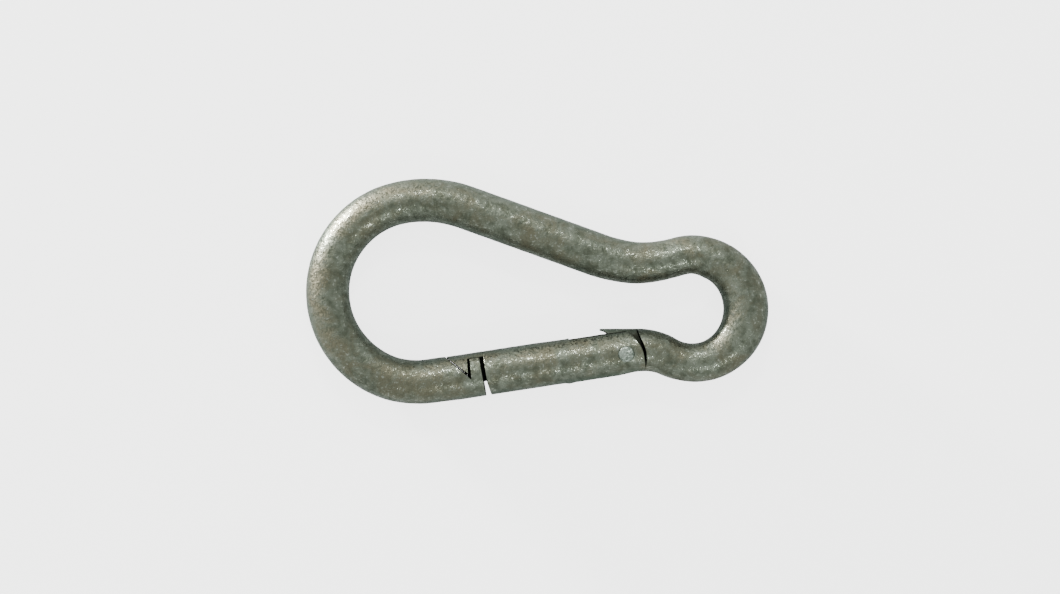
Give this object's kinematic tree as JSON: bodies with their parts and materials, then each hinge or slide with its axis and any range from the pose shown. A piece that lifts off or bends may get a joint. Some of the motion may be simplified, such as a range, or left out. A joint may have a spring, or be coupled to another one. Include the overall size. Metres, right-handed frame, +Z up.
{
  "type": "spring snap hook",
  "caption": "Steel spring snap hook: a bent round bar with a wide bow and a small eye, closed by a sprung gate that swings inward.",
  "frame": {"origin": "bottom centre of the overall box: the hook lies flat on the surface at z = 0", "axes": "+X from the wide bow to the small eye, +Y from the gate to the back bar, +Z up out of the hook's plane"},
  "size_m": [0.12, 0.0587, 0.0114],
  "materials": {
    "cast_steel": "weathered zinc coating, mottled grey and olive brown",
    "gate_steel": "weathered zinc coating, mottled grey and olive brown",
    "rivet_steel": "peened, pale worn steel with a green-grey tint",
    "plunger_steel": "turned steel, lightly oiled",
    "spring_steel": "drawn spring wire"
  },
  "bodies": {
    "hook": {"hook_body": "cast_steel"},
    "gate": {"gate": "gate_steel", "hinge_pin": "rivet_steel", "return_spring": "spring_steel"},
    "plunger": {"plunger": "plunger_steel"}
  },
  "joints": [
    {"name": "gate_swing", "type": "hinge", "parent": "hook", "child": "gate", "pos_m": [0.02381, -0.01277, 0.0057], "axis": [0, 0, -1], "range_deg": [0, 30], "stiffness_Nm_per_rad": 0.088, "springref_deg": -62.45, "deforming": ["return_spring"]},
    {"name": "plunger_slide", "type": "slide", "parent": "gate", "child": "plunger", "axis": [-0.9768, -0.2143, 0], "range_m": [0, 0.00145]}
  ],
  "couplings": [
    {"joint": "plunger_slide", "follows": "gate_swing", "m_per_rad": 0.00275}
  ]
}
